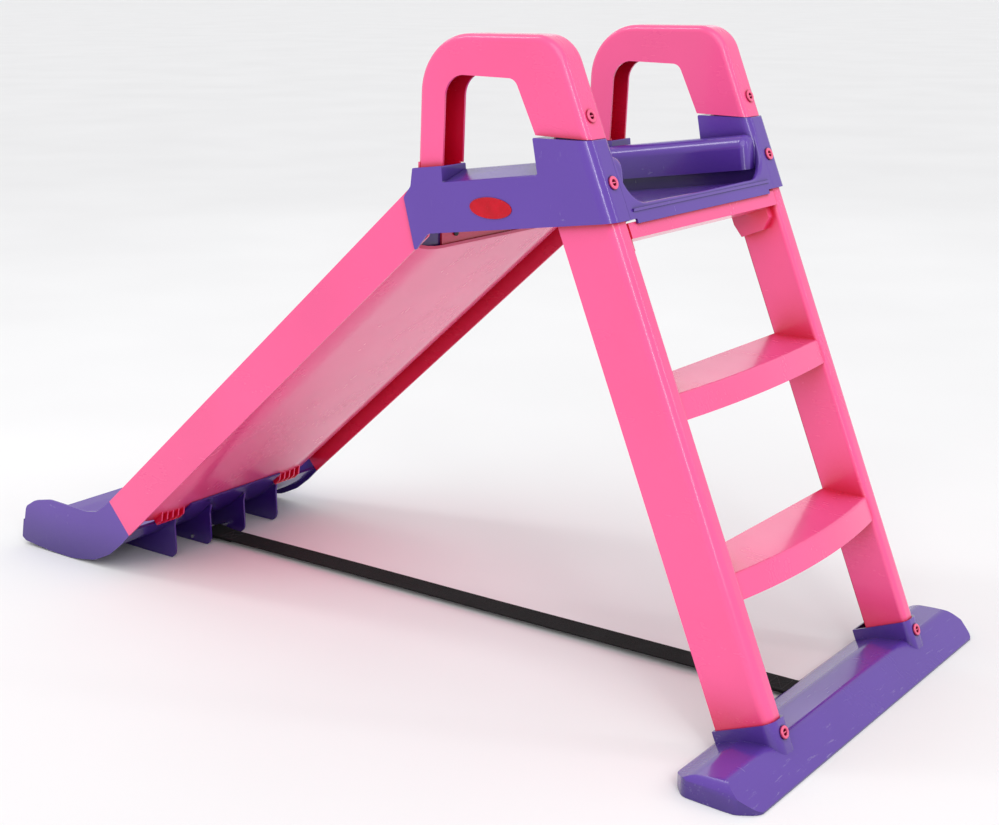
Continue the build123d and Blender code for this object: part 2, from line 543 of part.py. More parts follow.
# drop the doubled points on the centre line side
clean = []
for p in bed:
    if not clean or math.hypot(p[0] - clean[-1][0], p[1] - clean[-1][1]) > 1e-6:
        clean.append(p)
sx, sz = chu(0, 0)
pl = Plane(origin=(sx, 0, sz), x_dir=(0, -1, 0), z_dir=(-CC, 0, SC))
bed_solid = prism([(-y, h) for y, h in clean], pl, CHUTE_BED_U + 60)
bed_solid = bed_solid & Solid.make_box(700, 500, 800).moved(Location((-106.4, -250, 0)))
bed_solid = bed_solid - Solid.make_box(12, 500, 100).moved(Location((-108, -250, 628)))
walls = None
for s in (-1, 1):
    y0, y1 = (CHUTE_HALF - WALL, CHUTE_HALF) if s > 0 else (-CHUTE_HALF, -CHUTE_HALF + WALL)
    w = side([chu(0, 0), chu(0, CHUTE_WALL_H), chu(CHUTE_WALL_U + 21, CHUTE_WALL_H), (-137.5, 689, 2), (-139, 668, 8),
              chu(CHUTE_WALL_U, 20) + (8,), chu(CHUTE_WALL_U, 0) + (8,)], y0, y1)
    y2, y3 = (CHUTE_HALF - 11, CHUTE_HALF - 1) if s > 0 else (-CHUTE_HALF + 1, -CHUTE_HALF + 11)
    rim = side([chu(0, CHUTE_WALL_H - WALL), chu(0, CHUTE_WALL_H), chu(CHUTE_BED_U - 12, CHUTE_WALL_H),
                chu(CHUTE_BED_U - 12, CHUTE_WALL_H - WALL)], y2, y3)
    w = w + rim
    walls = w if walls is None else walls + w
flange = across([(-126, 591), (126, 591), (126, 622, 6), (-126, 622, 6)], -103.9, -100.7)
chute = bed_solid + walls + flange
for ys in SCREW_Y:
    chute = chute - Solid.make_cylinder(2.6, 10, Plane(origin=(-107, ys, 611), z_dir=(1, 0, 0)))
# toothed tabs at the lower end, where the run-out hooks on
for sgn in (-1, 1):
    for yk in (114.0, 126.0, 138.0, 150.0, 162.0):
        tooth = side([chu(0.5, 1), chu(15, 1), chu(30, 13), chu(30, 30), chu(0.5, 30)], sgn * yk - 1.3, sgn * yk + 1.3)
        chute = chute + tooth
    y0, y1 = sorted((sgn * 112.7, sgn * 163.3))
    bar = side([chu(0.5, 1), chu(3.4, 1), chu(3.4, 12), chu(0.5, 12)], y0, y1)
    chute = chute + bar
# anything above the bed's top surface is trimmed off the teeth
over_bed = [(y, h) for y, h in bed_curve(CHUTE_HALF - WALL, CHUTE_BED + WALL, CHUTE_BED_SIDE + 8, WALL)]
over_bed = [(108, CHUTE_BED + WALL)] + [q for q in over_bed if 108 < q[0] < 190] + [(190, 60), (108, 60)]
lid = prism([(-y, h) for y, h in over_bed], Plane(origin=chu(-1, 0)[:1] + (0,) + chu(-1, 0)[1:], x_dir=(0, -1, 0), z_dir=(-CC, 0, SC)), 40)
chute = chute - lid - mirror_y(lid)
write(one(chute), "chute")

# ------------------------------------------------------------------- run-out
exit_out = [chu(0, 0), (479, 50, 12), (508, 27, 40), (545, 9, 60), (600, -1, 200), (660, -1, 200), (722, 3, 8),
            (731, 9, 3), (725, 26, 10), (716, 66, 16), (690, 82, 40), (652, 91, 60), (560, 90, 50), (530, 97, 40),
            chu(0, CHUTE_WALL_H)]
exit_walls = None
for s in (-1, 1):
    y0, y1 = (CHUTE_HALF - WALL, CHUTE_HALF) if s > 0 else (-CHUTE_HALF, -CHUTE_HALF + WALL)
    w = side(exit_out, y0, y1)
    exit_walls = w if exit_walls is None else exit_walls + w
# the bed: continues the chute's underside, then levels out and rounds over
exit_bed = side([chu(34, CHUTE_BED - WALL - 0.4), chu(0, CHUTE_BED - WALL - 0.4), (507, 33.5, 110), (574, 20, 120),
                 (700, 35.5, 20), (725.5, 37.5), (726.5, 40.5, 1), (700, 39.5, 24), (575, 24, 120), (509, 38.5, 120),
                 chu(-0.4, CHUTE_BED + 1.0), chu(-0.4, CHUTE_BED - 0.4), chu(34, CHUTE_BED - 0.4)],
                -CHUTE_HALF + WALL - 0.5, CHUTE_HALF - WALL + 0.5)
# trim the hook-on tongue to the flat middle of the chute's bed
trim = side([chu(-0.4, -30), chu(60, -30), chu(60, 70), chu(-0.4, 70)], 105, 230)
exit_bed = exit_bed - trim - mirror_y(trim)
run_out = exit_walls + exit_bed
# the turned-down lip at the outlet
lip_wall = side([(723.5, 38), (728, 12.5), (731, 13.5), (726, 40.5)], -CHUTE_HALF + 1, CHUTE_HALF - 1)
run_out = run_out + lip_wall
FIN_Y = (-120.0, -40.0, 40.0, 120.0)
for yf in FIN_Y:
    fin = side([chu(2, CHUTE_BED - WALL - 1.5), (462, 60, 6), (460, 0, 18), (600, 0, 60), (700, 6, 10), (722, 20, 10), (722, 38.5), (700, 37.5, 20), (574, 21.8, 120), (507, 35.3, 110)],
               yf - 1.6, yf + 1.6)
    run_out = run_out + fin
hole = Solid.make_cylinder(STRAP_PIN_R + 0.02, 100, Plane(origin=(STRAP_A[0], -50, STRAP_A[1]), z_dir=(0, 1, 0)))
run_out = run_out - hole
ground = Solid.make_box(2000, 1000, 50).moved(Location((-1000, -500, -50)))
run_out = run_out - turned(ground, -LEVEL_ANGLE)
write(one(run_out), "run_out")

# --------------------------------------------------------------- tie strap
ax, az = STRAP_A
bx, bz = STRAP_B
dl = math.hypot(ax - bx, az - bz)
tx, tz = (ax - bx) / dl, (az - bz) / dl
nx, nz = -tz, tx
h = STRAP_T / 2
band = side([(bx + tx * 4 + nx * h, bz + tz * 4 + nz * h), (ax - tx * 4 + nx * h, az - tz * 4 + nz * h),
             (ax - tx * 4 - nx * h, az - tz * 4 - nz * h), (bx + tx * 4 - nx * h, bz + tz * 4 - nz * h)],
            -STRAP_W / 2, STRAP_W / 2)
strap = band
for cx, cz in (STRAP_A, STRAP_B):
    eye = Solid.make_cylinder(STRAP_PIN_R + 0.25 + STRAP_T, STRAP_W,
                              Plane(origin=(cx, -STRAP_W / 2, cz), z_dir=(0, 1, 0)))
    strap = strap + eye
for cx, cz in (STRAP_A, STRAP_B):
    strap = strap - Solid.make_cylinder(STRAP_PIN_R + 0.25, STRAP_W + 4,
                                        Plane(origin=(cx, -STRAP_W / 2 - 2, cz), z_dir=(0, 1, 0)))
write(one(strap), "tie_strap")
write(Solid.make_cylinder(STRAP_PIN_R, 88, Plane(origin=(ax, -44, az), z_dir=(0, 1, 0))), "strap_pin_front")
write(Solid.make_cylinder(STRAP_PIN_R, STRAP_W + 15, Plane(origin=(bx, -(STRAP_W + 15) / 2, bz), z_dir=(0, 1, 0))),
      "strap_pin_rear")

# ---------------------------------------------------------------- lock pins
def lock_pin(u, y, head_off, lug_off):
    """Quarter-turn pin: slotted head, round shank and a cross lug."""
    pl = ladder_plane(u, y, head_off)
    head = Solid.make_cylinder(PIN_HEAD_R, PIN_HEAD_T).moved(Location((0, 0, -PIN_HEAD_T)))
    shank = Solid.make_cylinder(PIN_SHANK_R, lug_off - head_off + PIN_LUG_T)
    lug = Solid.make_box(PIN_LUG_L, PIN_LUG_W, PIN_LUG_T).moved(
        Location((-PIN_LUG_L / 2, -PIN_LUG_W / 2, lug_off - head_off)))
    groove = Solid.make_box(11, 2.4, 1.6).moved(Location((-5.5, -1.2, -PIN_HEAD_T)))
    pin = (head.fuse(shank)).fuse(lug).cut(groove)
    return pl.from_local_coords(pin)


pins = (
    ("foot_pin", U_FOOT_PIN, 202.0, PLAT_REAR - 0.1, UP_REAR + WALL + 3.3),
    ("deck_pin", U_DECK_PIN, 201.0, PLAT_REAR - 0.1, UP_REAR + WALL + 3.3),
    ("handle_pin", U_HANDLE_PIN, 201.0, HANDLE_REAR - 0.1, HANDLE_REAR + 2 * WALL + 3.8),
)
for name, u, y, ho, lo in pins:
    p = lock_pin(u, y, ho, lo)
    write(one(p), name + "_left")
    write(one(mirror_y(p)), name + "_right")

# ------------------------------------------------------------ hidden screws
screws = []
for ys in SCREW_Y:
    head = Solid.make_cylinder(4.6, 2.6, Plane(origin=(-106.6, ys, 611), z_dir=(1, 0, 0)))
    stem = Solid.make_cylinder(1.98, 11.5, Plane(origin=(-104.5, ys, 611), z_dir=(1, 0, 0)))
    screws.append(head.fuse(stem))
write(Compound(children=[one(s) for s in screws]), "deck_screws")
# -------------------------------------------------------------- side badge
bc = Plane(origin=(-262, PLAT_OUT_Y, 676), x_dir=(-1, 0, 0), z_dir=(0, 1, 0))
ellipse = Face(Wire([Edge.make_ellipse(33, 13.5)]))
badge = bc.from_local_coords(Solid.extrude(ellipse, Vector(0, 0, 1.2)))
write(one(badge), "side_badge")
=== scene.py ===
import bpy
import bmesh
import math
from mathutils import Matrix, Vector


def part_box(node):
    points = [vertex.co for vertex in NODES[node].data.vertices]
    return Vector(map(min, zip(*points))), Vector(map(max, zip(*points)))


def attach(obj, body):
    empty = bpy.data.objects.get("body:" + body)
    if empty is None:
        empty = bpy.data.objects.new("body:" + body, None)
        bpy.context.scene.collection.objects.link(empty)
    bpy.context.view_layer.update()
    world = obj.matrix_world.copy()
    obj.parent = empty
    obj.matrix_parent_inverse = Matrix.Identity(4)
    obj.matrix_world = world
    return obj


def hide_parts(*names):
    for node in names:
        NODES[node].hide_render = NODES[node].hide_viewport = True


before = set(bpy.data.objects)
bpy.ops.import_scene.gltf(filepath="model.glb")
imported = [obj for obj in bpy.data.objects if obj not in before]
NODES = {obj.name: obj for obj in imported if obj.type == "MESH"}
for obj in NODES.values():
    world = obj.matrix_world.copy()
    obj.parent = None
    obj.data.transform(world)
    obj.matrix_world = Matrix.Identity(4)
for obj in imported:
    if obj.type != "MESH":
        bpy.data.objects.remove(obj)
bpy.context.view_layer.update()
scene = bpy.context.scene

# ------------------------------------------------------------------- camera
cam_data = bpy.data.cameras.new("camera")
cam = bpy.data.objects.new("camera", cam_data)
scene.collection.objects.link(cam)
right = Vector((-0.80407351, -0.59452195, -0.00307407))
down = Vector((-0.15069016, 0.20880033, -0.9662789))
ahead = Vector((0.57511588, -0.77649603, -0.25747942))
rot = Matrix((right, -down, -ahead)).transposed()
cam.matrix_world = Matrix.Translation(Vector((-1.523473, 1.8975, 0.94592947))) @ rot.to_4x4()
cam_data.sensor_fit = "HORIZONTAL"
cam_data.sensor_width = 36.0
cam_data.lens = 59.676
cam_data.clip_start, cam_data.clip_end = 0.05, 500.0
scene.camera = cam

# ------------------------------------------------------- dimensions (metres)
TILT = math.radians(1.345)
LEAN = math.radians(23.05) - TILT
SL, CL = math.sin(LEAN), math.cos(LEAN)


def level(x, z):
    """Point of the part's drawing, in metres, on the level ground."""
    dx = x - 0.540
    return (0.540 + dx * math.cos(TILT) - z * math.sin(TILT) + 0.0041, dx * math.sin(TILT) + z * math.cos(TILT))


LX, LZ = level(-0.6964, 0.0737)


def lad(u, off):
    return (LX + u * SL + off * CL, LZ + u * CL - off * SL)


# ----------------------------------------------------------- node materials
def new_material(name):
    m = bpy.data.materials.new(name)
    m.use_nodes = True
    nt = m.node_tree
    nt.nodes.clear()
    out = nt.nodes.new("ShaderNodeOutputMaterial")
    bsdf = nt.nodes.new("ShaderNodeBsdfPrincipled")
    nt.links.new(bsdf.outputs[0], out.inputs[0])
    return m, nt, bsdf


def node(nt, kind, **values):
    n = nt.nodes.new(kind)
    for k, v in values.items():
        setattr(n, k, v)
    return n


def noise(nt, vec, scale, detail=3.0, rough=0.55):
    n = node(nt, "ShaderNodeTexNoise")
    n.inputs["Scale"].default_value = scale
    n.inputs["Detail"].default_value = detail
    n.inputs["Roughness"].default_value = rough
    nt.links.new(vec, n.inputs["Vector"])
    return n.outputs[0]


def ramp(nt, fac, stops):
    r = node(nt, "ShaderNodeValToRGB")
    while len(r.color_ramp.elements) < len(stops):
        r.color_ramp.elements.new(0.5)
    for e, (p, c) in zip(r.color_ramp.elements, stops):
        e.position = p
        e.color = c if len(c) == 4 else (*c, 1.0)
    nt.links.new(fac, r.inputs[0])
    return r.outputs[0]


def grey(v):
    return (v, v, v, 1.0)


def mix(nt, fac, a, b, blend="MIX"):
    m = node(nt, "ShaderNodeMix", data_type="RGBA", blend_type=blend)
    for sock, val in ((m.inputs[0], fac), (m.inputs[6], a), (m.inputs[7], b)):
        if isinstance(val, (int, float)):
            sock.default_value = val
        elif isinstance(val, tuple):
            sock.default_value = val if len(val) == 4 else (*val, 1.0)
        else:
            nt.links.new(val, sock)
    return m.outputs[2]


def maths(nt, op, a, b=None):
    m = node(nt, "ShaderNodeMath", operation=op)
    for sock, val in ((m.inputs[0], a), (m.inputs[1], b)):
        if val is None:
            continue
        if isinstance(val, (int, float)):
            sock.default_value = val
        else:
            nt.links.new(val, sock)
    return m.outputs[0]


def mapped(nt, scale=(1, 1, 1), rotation=(0, 0, 0)):
    tc = node(nt, "ShaderNodeTexCoord")
    mp = node(nt, "ShaderNodeMapping")
    mp.inputs["Scale"].default_value = scale
    mp.inputs["Rotation"].default_value = rotation
    nt.links.new(tc.outputs["Object"], mp.inputs[0])
    return mp.outputs[0]


def bump(nt, height, strength, distance, below=None):
    b = node(nt, "ShaderNodeBump")
    b.inputs["Strength"].default_value = strength
    b.inputs["Distance"].default_value = distance
    nt.links.new(height, b.inputs["Height"])
    if below is not None:
        nt.links.new(below, b.inputs["Normal"])
    return b.outputs[0]


def shade(c, k):
    return tuple(min(1.0, v * k) for v in c)


def plastic(name, base, hollow_shade_colour, rough=0.22, scuffs=0.0, low_wear=0.0):
    """Glossy moulded plastic: slow colour drift, painted shade in hollows (a darker, deeper colour
    mixed in where ambient occlusion is high), fine orange peel, swirl marks in the gloss, scuffs."""
    m, nt, p = new_material(name)
    co = mapped(nt)
    drift = noise(nt, co, 5.0, 2.0)
    col = ramp(nt, drift, [(0.30, shade(base, 0.94)), (0.52, base), (0.75, shade(base, 1.05))])
    grain = noise(nt, co, 420.0, 3.0)
    col = mix(nt, ramp(nt, grain, [(0.45, grey(0.0)), (0.75, grey(0.10))]), col, shade(base, 0.90))
    # painted shade: ambient occlusion mixes the darker hollow colour into hollows, inner corners and gaps between parts
    ao = node(nt, "ShaderNodeAmbientOcclusion", samples=12)
    ao.inputs["Distance"].default_value = 0.11
    hollow_shade_mask = ramp(nt, ao.outputs["AO"], [(0.20, grey(1.0)), (0.62, grey(0.80)), (0.93, grey(0.0))])
    col = mix(nt, hollow_shade_mask, col, hollow_shade_colour)
    r = ramp(nt, noise(nt, co, 13.0, 4.0), [(0.30, grey(rough - 0.03)), (0.72, grey(rough + 0.05))])
    swirl = ramp(nt, noise(nt, mapped(nt, (9.0, 60.0, 40.0), (0.5, 0.3, 0.8)), 3.0, 2.0, 0.5), [(0.35, grey(0.0)), (0.75, grey(0.03))])
    r = maths(nt, "ADD", r, swirl)
    nrm = bump(nt, noise(nt, co, 1300.0, 2.0), 0.05, 0.00012)
    nrm = bump(nt, noise(nt, co, 9.0, 1.0), 0.06, 0.0022, nrm)
    if scuffs or low_wear:
        s1 = noise(nt, mapped(nt, (240.0, 16.0, 60.0), (0.2, 0.5, 0.4)), 1.0, 4.0, 0.6)
        s2 = noise(nt, mapped(nt, (24.0, 210.0, 60.0), (0.7, 0.1, 1.1)), 1.0, 4.0, 0.6)
        hair = ramp(nt, maths(nt, "MAXIMUM", s1, s2), [(0.66, grey(0.0)), (0.72, grey(1.0))])
        patch = ramp(nt, noise(nt, co, 11.0, 3.0), [(0.52, grey(0.0)), (0.66, grey(1.0))])
        mask = maths(nt, "MULTIPLY", maths(nt, "MULTIPLY", hair, patch), scuffs)
        if low_wear:
            sep = node(nt, "ShaderNodeSeparateXYZ")
            nt.links.new(co, sep.inputs[0])
            near_floor = ramp(nt, sep.outputs[2], [(0.0, grey(1.0)), (0.034, grey(0.10))])
            rub = ramp(nt, noise(nt, mapped(nt, (90.0, 12.0, 90.0), (0.1, 0.9, 0.2)), 2.0, 6.0, 0.72),
                       [(0.60, grey(0.0)), (0.69, grey(1.0))])
            mask = maths(nt, "MAXIMUM", mask, maths(nt, "MULTIPLY", maths(nt, "MULTIPLY", near_floor, rub), low_wear))
        col = mix(nt, mask, col, tuple(0.6 * v + 0.28 for v in base))
        r = maths(nt, "ADD", r, maths(nt, "MULTIPLY", mask, 0.4))
    nt.links.new(col, p.inputs["Base Color"])
    nt.links.new(r, p.inputs["Roughness"])
    nt.links.new(nrm, p.inputs["Normal"])
    p.inputs["Specular IOR Level"].default_value = 0.5
    p.inputs["IOR"].default_value = 1.49
    p.inputs["Coat Weight"].default_value = 0.35
    p.inputs["Coat Roughness"].default_value = 0.09
    return m


PINK = (0.91, 0.092, 0.285)
PURPLE = (0.106, 0.040, 0.345)
# painted shade colours, mixed into hollows by ambient occlusion; the pin's own painted shade colour is the second
# colour given to it below
PINK_HOLLOW_SHADE = (0.60, 0.0, 0.018)
PURPLE_HOLLOW_SHADE = (0.034, 0.010, 0.150)
mat_pink = plastic("moulded_pink", PINK, PINK_HOLLOW_SHADE, 0.23)
mat_purple = plastic("moulded_purple", PURPLE, PURPLE_HOLLOW_SHADE, 0.20, 0.25)
mat_purple_foot = plastic("moulded_purple_foot", PURPLE, PURPLE_HOLLOW_SHADE, 0.22, 0.35, 0.45)
mat_pin = plastic("pin_pink", (0.88, 0.10, 0.24), (0.20, 0.0, 0.02), 0.30)


def badge_material():
    m, nt, p = new_material("badge_red")
    co = mapped(nt)
    col = ramp(nt, noise(nt, co, 60.0, 3.0), [(0.3, (0.46, 0.000, 0.010)), (0.7, (0.58, 0.001, 0.016))])
    nt.links.new(col, p.inputs["Base Color"])
    r = ramp(nt, noise(nt, co, 180.0, 4.0), [(0.35, grey(0.14)), (0.7, grey(0.30))])
    nt.links.new(r, p.inputs["Roughness"])
    nt.links.new(bump(nt, noise(nt, co, 500.0, 2.0), 0.05, 0.0002), p.inputs["Normal"])
    p.inputs["Specular IOR Level"].default_value = 0.25
    p.inputs["Coat Weight"].default_value = 0.1
    p.inputs["Coat Roughness"].default_value = 0.06
    return m


def steel_material(name="zinc_steel", low=(0.42, 0.42, 0.44), high=(0.66, 0.66, 0.68)):
    m, nt, p = new_material(name)
    co = mapped(nt)
    col = ramp(nt, noise(nt, co, 90.0, 4.0), [(0.3, low), (0.7, high)])
    nt.links.new(col, p.inputs["Base Color"])
    r = ramp(nt, noise(nt, mapped(nt, (600.0, 90.0, 600.0)), 1.0, 4.0), [(0.3, grey(0.24)), (0.7, grey(0.44))])
    nt.links.new(r, p.inputs["Roughness"])
    nt.links.new(bump(nt, noise(nt, co, 1400.0, 2.0), 0.12, 0.0002), p.inputs["Normal"])
    p.inputs["Metallic"].default_value = 1.0
    return m


def webbing_material():
    """Plain-woven polyester: ribs across the band, a twill tick along it, dusty wear."""
    m, nt, p = new_material("black_webbing")
    co = mapped(nt)
    sep = node(nt, "ShaderNodeSeparateXYZ")
    nt.links.new(co, sep.inputs[0])
    across_w = maths(nt, "SINE", maths(nt, "MULTIPLY", sep.outputs[0], 2 * math.pi / 0.0016))
    along_w = maths(nt, "SINE", maths(nt, "MULTIPLY", sep.outputs[1], 2 * math.pi / 0.0022))
    weave = maths(nt, "ADD", maths(nt, "MULTIPLY", across_w, along_w), maths(nt, "MULTIPLY", across_w, 0.6))
    fuzz = noise(nt, co, 2600.0, 2.0)
    drift = noise(nt, co, 14.0, 4.0)
    col = ramp(nt, drift, [(0.30, (0.004, 0.004, 0.004)), (0.60, (0.007, 0.007, 0.007)), (0.82, (0.016, 0.015, 0.015))])
    lit = maths(nt, "MULTIPLY", maths(nt, "ADD", weave, 1.6), 0.30)
    col = mix(nt, 0.7, col, mix(nt, lit, (0.003, 0.003, 0.003), (0.018, 0.017, 0.018)), "MIX")
    nt.links.new(col, p.inputs["Base Color"])
    r = ramp(nt, drift, [(0.3, grey(0.70)), (0.8, grey(0.88))])
    nt.links.new(r, p.inputs["Roughness"])
    nrm = bump(nt, fuzz, 0.25, 0.0003)
    nrm = bump(nt, weave, 0.55, 0.0005, nrm)
    nt.links.new(nrm, p.inputs["Normal"])
    p.inputs["Sheen Weight"].default_value = 0.04
    p.inputs["Sheen Roughness"].default_value = 0.45
    p.inputs["Specular IOR Level"].default_value = 0.08
    return m


mat_badge = badge_material()
mat_steel = steel_material()
mat_screw = steel_material("black_oxide_steel", (0.030, 0.030, 0.033), (0.075, 0.072, 0.072))
mat_web = webbing_material()


# --------------------------------------------------------- mesh-code helpers
def add_object(name, verts, faces, mat, body="root", smooth=True):
    me = bpy.data.meshes.new(name)
    me.from_pydata([tuple(v) for v in verts], [], faces)
    me.validate()
    bm = bmesh.new()
    bm.from_mesh(me)
    bmesh.ops.remove_doubles(bm, verts=bm.verts, dist=1e-6)
    bmesh.ops.recalc_face_normals(bm, faces=bm.faces)
    bm.to_mesh(me)
    bm.free()
    for poly in me.polygons:
        poly.use_smooth = smooth
    o = bpy.data.objects.new(name, me)
    scene.collection.objects.link(o)
    me.materials.append(mat)
    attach(o, body)
    return o


def finish_edges(o, width, segments=2, angle=30.0):
    """Cleans the mesh into flat faces, rounds its sharp edges, weights its normals."""
    w = o.modifiers.new("weld", "WELD")
    w.merge_threshold = 1e-5
    d = o.modifiers.new("planar", "DECIMATE")
    d.decimate_type = "DISSOLVE"
    d.angle_limit = math.radians(0.6)
    b = o.modifiers.new("round", "BEVEL")
    b.width = width
    b.segments = segments
    b.limit_method = "ANGLE"
    b.angle_limit = math.radians(angle)
    b.use_clamp_overlap = True
    b.miter_outer = "MITER_ARC"
    b.harden_normals = False
    n = o.modifiers.new("normals", "WEIGHTED_NORMAL")
    n.mode = "FACE_AREA"
    n.weight = 60
    n.keep_sharp = False
    return o


def dress(name, mat, width):
    o = NODES[name]
    o.data.materials.clear()
    o.data.materials.append(mat)
    for poly in o.data.polygons:
        poly.use_smooth = True
        poly.material_index = 0
    if width:
        finish_edges(o, width)
    return o


def lathe(profile, n=40):
    """Closed surface of revolution about local Z from (r, z) points, axis to axis."""
    verts, faces, rings = [], [], []
    for r, z in profile:
        if r < 1e-9:
            rings.append([len(verts)])
            verts.append((0.0, 0.0, z))
        else:
            ring = []
            for i in range(n):
                a = 2 * math.pi * i / n
                ring.append(len(verts))
                verts.append((r * math.cos(a), r * math.sin(a), z))
            rings.append(ring)
    for a, b in zip(rings, rings[1:]):
        for i in range(n):
            j = (i + 1) % n
            if len(a) == 1 and len(b) == 1:
                continue
            if len(a) == 1:
                faces.append((a[0], b[i], b[j]))
            elif len(b) == 1:
                faces.append((a[i], a[j], b[0]))
            else:
                faces.append((a[i], a[j], b[j], b[i]))
    return verts, faces


def box_mesh(lo, hi, r=0.0004):
    """Box with chamfered edges, as vertices and faces."""
    bm = bmesh.new()
    bmesh.ops.create_cube(bm, size=1.0)
    for v in bm.verts:
        v.co = Vector([(lo[k] + hi[k]) / 2 + v.co[k] * (hi[k] - lo[k]) for k in range(3)])
    bmesh.ops.bevel(bm, geom=bm.edges[:], offset=r, segments=2, affect="EDGES", profile=0.5)
    bm.verts.index_update()
    vs = [tuple(v.co) for v in bm.verts]
    fs = [tuple(v.index for v in f.verts) for f in bm.faces]
    bm.free()
    return vs, fs


def joined(parts):
    verts, faces = [], []
    for vs, fs in parts:
        k = len(verts)
        verts += list(vs)
        faces += [tuple(i + k for i in f) for f in fs]
    return verts, faces


# --------------------------------------------- mouldings kept from the frame
dress("ladder_frame", mat_pink, 0.0012)
dress("chute", mat_pink, 0.0011)
dress("handle_left", mat_pink, 0.0011)
dress("handle_right", mat_pink, 0.0011)
dress("platform", mat_purple, 0.0011)
dress("run_out", mat_purple, 0.0011)
dress("foot_bar", mat_purple_foot, 0.0014)
dress("strap_pin_front", mat_steel, 0.0004)
dress("strap_pin_rear", mat_steel, 0.0004)
dress("deck_screws", mat_screw, 0.0003)

# -------------------------------------------------------------- lock pins
STATIONS = {"foot": (0.0, 0.202, -0.0047, 0.0055), "deck": (0.701, 0.201, -0.0047, 0.0055),
            "handle": (0.786, 0.201, -0.0025, 0.0078)}


def pin_piece(kind, side):
    u, y, head_off, lug_off = STATIONS[kind]
    x, z = lad(u, head_off)
    # local z points into the moulding; the head stands towards -z
    frame_m = Matrix(((0.0, SL, CL), (1.0, 0.0, 0.0), (0.0, CL, -SL))).to_4x4()
    place = Matrix.Translation(Vector((x, y * side, z))) @ frame_m
    t = 0.003
    head = lathe([(0.0, 0.0042), (0.0034, 0.0042), (0.0038, 0.0036), (0.0040, -t + 0.0012), (0.0045, -t + 0.0005),
                  (0.0053, -t + 0.0001), (0.0060, -t), (0.0072, -t), (0.0080, -t + 0.0003), (0.0084, -t + 0.0009),
                  (0.0085, -t + 0.0014), (0.0085, -0.0002), (0.0083, 0.0), (0.0050, 0.0),
                  (0.0050, lug_off - head_off), (0.0050, lug_off - head_off + 0.0036),
                  (0.0046, lug_off - head_off + 0.0040), (0.0, lug_off - head_off + 0.0040)], 48)
    bar = box_mesh((-0.0040, -0.0008, -t + 0.0012), (0.0040, 0.0008, -t + 0.0042), 0.0002)
    lug = box_mesh((-0.0065, -0.0020, lug_off - head_off + 0.0001), (0.0065, 0.0020, lug_off - head_off + 0.0039), 0.0005)
    verts, faces = joined([head, bar, lug])
    verts = [place @ Vector(v) for v in verts]
    name = kind + "_pin_" + ("left" if side > 0 else "right")
    o = add_object(name + "_piece", verts, faces, mat_pin, name)
    w = o.modifiers.new("normals", "WEIGHTED_NORMAL")
    w.weight = 60
    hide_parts(name)


for kind in STATIONS:
    for side in (1, -1):
        pin_piece(kind, side)

# ---------------------------------------------------------------- badge
blo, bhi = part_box("side_badge")
bc = (blo + bhi) / 2
rings = [(1.0, 0.0), (1.0, 0.00075), (0.985, 0.00105), (0.955, 0.00118), (0.93, 0.00112), (0.915, 0.00085),
         (0.89, 0.00080), (0.72, 0.00098), (0.45, 0.00112), (0.2, 0.00118)]
N = 72
ax_, az_ = (bhi.x - blo.x) / 2, (bhi.z - blo.z) / 2
vs, fs = [], []
for k, h in rings:
    for i in range(N):
        a = 2 * math.pi * i / N
        inset = (1.0 - k) * az_
        vs.append((bc.x + (ax_ - inset) * math.cos(a) if k > 0.5 else bc.x + ax_ * k * math.cos(a),
                   blo.y + h, bc.z + (az_ - inset) * math.sin(a) if k > 0.5 else bc.z + az_ * k * math.sin(a)))
for r in range(len(rings) - 1):
    for i in range(N):
        j = (i + 1) % N
        fs.append((r * N + i, r * N + j, (r + 1) * N + j, (r + 1) * N + i))
fs.append(tuple(range(N))[::-1])
top = len(vs)
vs.append((bc.x, blo.y + 0.0012, bc.z))
for i in range(N):
    fs.append(((len(rings) - 1) * N + i, (len(rings) - 1) * N + (i + 1) % N, top))
badge = add_object("badge_piece", vs, fs, mat_badge, "root")
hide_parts("side_badge")

# ----------------------------------------------------------- webbing strap
A = Vector((level(0.505, 0.009)[0], 0.0, level(0.505, 0.009)[1]))
B = Vector((level(-0.6475, 0.0374)[0], 0.0, level(-0.6475, 0.0374)[1]))
axis = (A - B).normalized()
nrm_s = Vector((-axis.z, 0.0, axis.x))
LEN = (A - B).length
TH = 0.0015
RP = 0.00305 + TH / 2
path = []


def at(base, d, direction, off):
    return base + axis * (d * direction) + nrm_s * off


def loop_at(base, direction, go):
    """Points of the loop round a pin: direction is the way the run leaves the pin."""
    pts = []
    for d in (0.085, 0.070, 0.055, 0.040, 0.030, 0.020, 0.012, 0.006):
        k = max(0.0, min(1.0, (0.040 - d) / 0.036))
        k = k * k * (3 - 2 * k)
        pts.append(at(base, d, direction, RP * k + 0.0001 * (1 - k)))
    for i in range(0, 9):
        a = math.pi * i / 8
        pts.append(base + nrm_s * (RP * math.cos(a)) - axis * direction * (RP * math.sin(a)))
    for d in (0.006, 0.012, 0.020, 0.030, 0.040, 0.055, 0.070):
        k = max(0.0, min(1.0, (0.040 - d) / 0.036))
        k = k * k * (3 - 2 * k)
        pts.append(at(base, d, direction, -(RP * k + (TH + 0.0002) * (1 - k))))
    return pts


end_b = loop_at(B, 1.0, None)
end_a = loop_at(A, -1.0, None)
path = end_b[::-1]
n_mid = 150
for i in range(1, n_mid):
    d = 0.085 + (LEN - 0.170) * i / n_mid
    path.append(B + axis * d + nrm_s * (0.0001 + 0.0004 * math.sin(d * 9.0) * math.sin(math.pi * d / LEN)))
path += end_a

